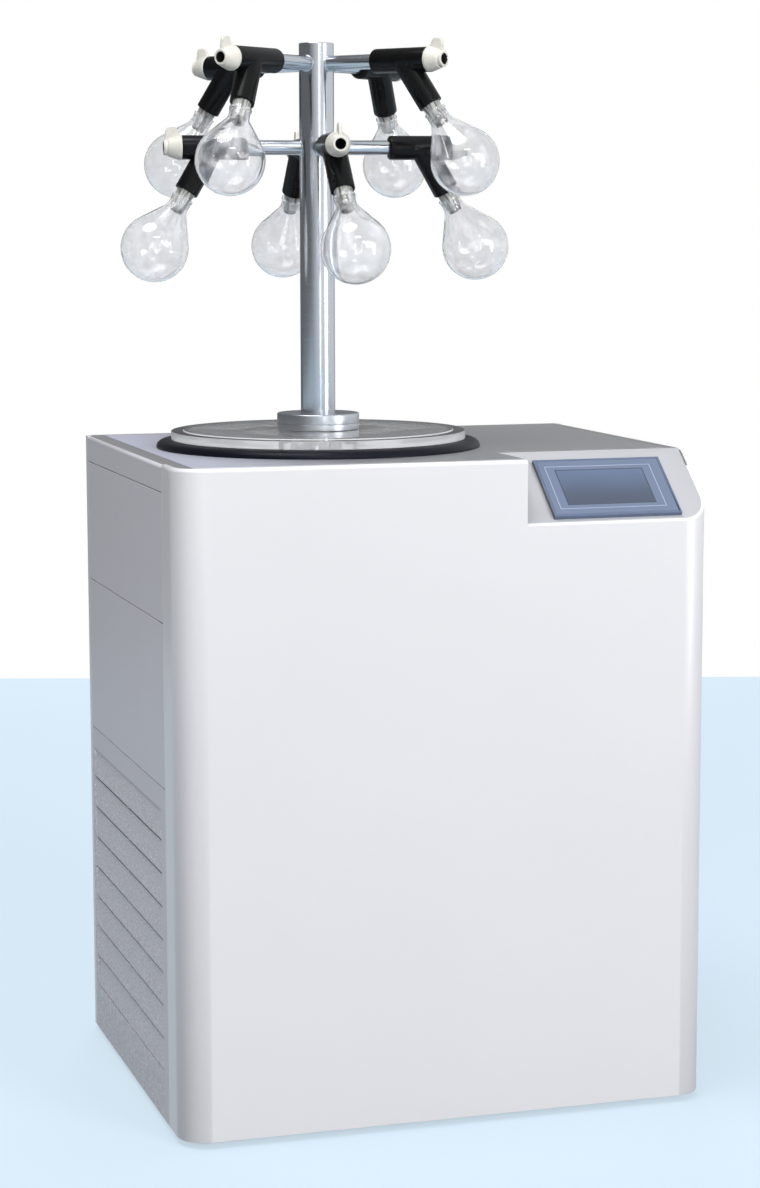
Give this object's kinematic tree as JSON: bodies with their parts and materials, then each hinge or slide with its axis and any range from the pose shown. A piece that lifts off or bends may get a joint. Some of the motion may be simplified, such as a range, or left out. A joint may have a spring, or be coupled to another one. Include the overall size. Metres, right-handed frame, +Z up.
{
  "type": "freeze dryer",
  "caption": "Floor-standing laboratory freeze dryer: a steel cabinet with a sloping screen console, a clear lid over a cold trap, and a steel tree of flasks on rubber valves.",
  "frame": {"origin": "on the floor under the middle of the machine's overall rectangle seen from above, from the front face to the end of the drain spout at the back and from side to side; the four feet rest on this plane", "axes": "+Z up; -Y towards the front, where the screen console slopes down; +X to the right of someone facing the front, on the console's side"},
  "size_m": [0.8521, 0.754, 1.663],
  "materials": {
    "black_nut": "black moulding",
    "bright_fastener": "bright zinc",
    "brushed_steel": "circumferentially brushed stainless",
    "clear_lid": "clear acrylic",
    "coil_copper": "drawn copper",
    "compressor_enamel": "black enamel",
    "console_paint": "satin grey powder coat",
    "control_box_paint": "satin light paint",
    "cover_paint": "satin dark-grey powder coat",
    "fan_blade": "dark moulded plastic",
    "fan_steel": "satin dark paint",
    "fin_aluminium": "mill-finish fins",
    "flask_glass": "clear blown glass",
    "foam": "closed-cell foam",
    "foot_rubber": "matt black rubber",
    "frame_steel": "satin grey zinc-primed steel",
    "front_paint": "smooth satin off-white powder coat",
    "frosted_joint": "ground frosted glass",
    "gasket_rubber": "smooth black rubber",
    "inlet_plastic": "black moulded plastic",
    "red_grip": "dipped red plastic",
    "red_rocker": "red moulded plastic",
    "screen_frame": "blue-grey gloss frame",
    "screen_glass": "dark display behind glass",
    "side_paint": "satin light-grey powder coat",
    "trap_steel": "satin stainless",
    "valve_brass": "satin brass",
    "valve_plug": "cream moulded plastic",
    "valve_rubber": "moulded black rubber with a soft gloss",
    "worktop_steel": "fine brushed stainless sheet"
  },
  "bodies": {
    "root": {"base_frame": "frame_steel", "front_panel": "front_paint", "back_panel": "front_paint", "top_cover": "cover_paint", "top_plate": "worktop_steel", "left_upper_panel": "side_paint", "left_middle_panel": "side_paint", "left_vent_panel": "side_paint", "right_upper_panel": "side_paint", "right_middle_panel": "side_paint", "right_vent_panel": "side_paint", "console_panel": "console_paint", "screen_bezel": "screen_frame", "screen_glass": "screen_glass", "panel_screws": "bright_fastener", "levelling_feet": "foot_rubber", "lid_gasket": "gasket_rubber", "lid_disc": "clear_lid", "manifold_collar": "brushed_steel", "collar_nut": "black_nut", "collar_bolts": "bright_fastener", "manifold_tube": "brushed_steel", "valve_body_1": "valve_rubber", "valve_body_2": "valve_rubber", "valve_body_3": "valve_rubber", "valve_body_4": "valve_rubber", "valve_body_5": "valve_rubber", "valve_body_6": "valve_rubber", "valve_body_7": "valve_rubber", "valve_body_8": "valve_rubber", "flask_1": "flask_glass", "flask_2": "flask_glass", "flask_3": "flask_glass", "flask_4": "flask_glass", "flask_5": "flask_glass", "flask_6": "flask_glass", "flask_7": "flask_glass", "flask_8": "flask_glass", "flask_adapters": "frosted_joint", "trap_pot": "trap_steel", "trap_coil": "coil_copper", "trap_insulation": "foam", "compressor": "compressor_enamel", "condenser": "fin_aluminium", "fan_housing": "fan_steel", "control_box": "control_box_paint", "vacuum_pipe": "trap_steel", "drain_valve": "valve_brass", "power_inlet": "inlet_plastic"},
    "valve_plug_1": {"valve_core_1": "valve_plug"},
    "valve_plug_2": {"valve_core_2": "valve_plug"},
    "valve_plug_3": {"valve_core_3": "valve_plug"},
    "valve_plug_4": {"valve_core_4": "valve_plug"},
    "valve_plug_5": {"valve_core_5": "valve_plug"},
    "valve_plug_6": {"valve_core_6": "valve_plug"},
    "valve_plug_7": {"valve_core_7": "valve_plug"},
    "valve_plug_8": {"valve_core_8": "valve_plug"},
    "fan": {"fan_rotor": "fan_blade"},
    "lever": {"drain_lever": "red_grip"},
    "rocker": {"switch_rocker": "red_rocker"}
  },
  "joints": [
    {"name": "valve_1", "type": "hinge", "parent": "root", "child": "valve_plug_1", "pos_m": [-0.114, -0.04, 1.501], "axis": [-0.1271, -0.9919, 0], "range_deg": [0, 180]},
    {"name": "valve_2", "type": "hinge", "parent": "root", "child": "valve_plug_2", "pos_m": [-0.114, -0.04, 1.501], "axis": [0.9919, -0.1271, 0], "range_deg": [0, 180]},
    {"name": "valve_3", "type": "hinge", "parent": "root", "child": "valve_plug_3", "pos_m": [-0.114, -0.04, 1.501], "axis": [0.1271, 0.9919, 0], "range_deg": [0, 180]},
    {"name": "valve_4", "type": "hinge", "parent": "root", "child": "valve_plug_4", "pos_m": [-0.114, -0.04, 1.501], "axis": [-0.9919, 0.1271, 0], "range_deg": [0, 180]},
    {"name": "valve_5", "type": "hinge", "parent": "root", "child": "valve_plug_5", "pos_m": [-0.114, -0.04, 1.631], "axis": [0.6115, -0.7912, 0], "range_deg": [0, 180]},
    {"name": "valve_6", "type": "hinge", "parent": "root", "child": "valve_plug_6", "pos_m": [-0.114, -0.04, 1.631], "axis": [0.7912, 0.6115, 0], "range_deg": [0, 180]},
    {"name": "valve_7", "type": "hinge", "parent": "root", "child": "valve_plug_7", "pos_m": [-0.114, -0.04, 1.631], "axis": [-0.6115, 0.7912, 0], "range_deg": [0, 180]},
    {"name": "valve_8", "type": "hinge", "parent": "root", "child": "valve_plug_8", "pos_m": [-0.114, -0.04, 1.631], "axis": [-0.7912, -0.6115, 0], "range_deg": [0, 180]},
    {"name": "fan_spin", "type": "hinge", "parent": "root", "child": "fan", "pos_m": [-0.32, -0.014, 0.26], "axis": [1, 0, 0], "continuous": true},
    {"name": "drain_valve_turn", "type": "hinge", "parent": "root", "child": "lever", "pos_m": [-0.114, 0.337, 0.32], "axis": [0, 0, 1], "range_deg": [0, 90]},
    {"name": "mains_switch", "type": "hinge", "parent": "root", "child": "rocker", "pos_m": [0.235, 0.309, 0.15], "axis": [1, 0, 0], "range_deg": [0, 20]}
  ]
}
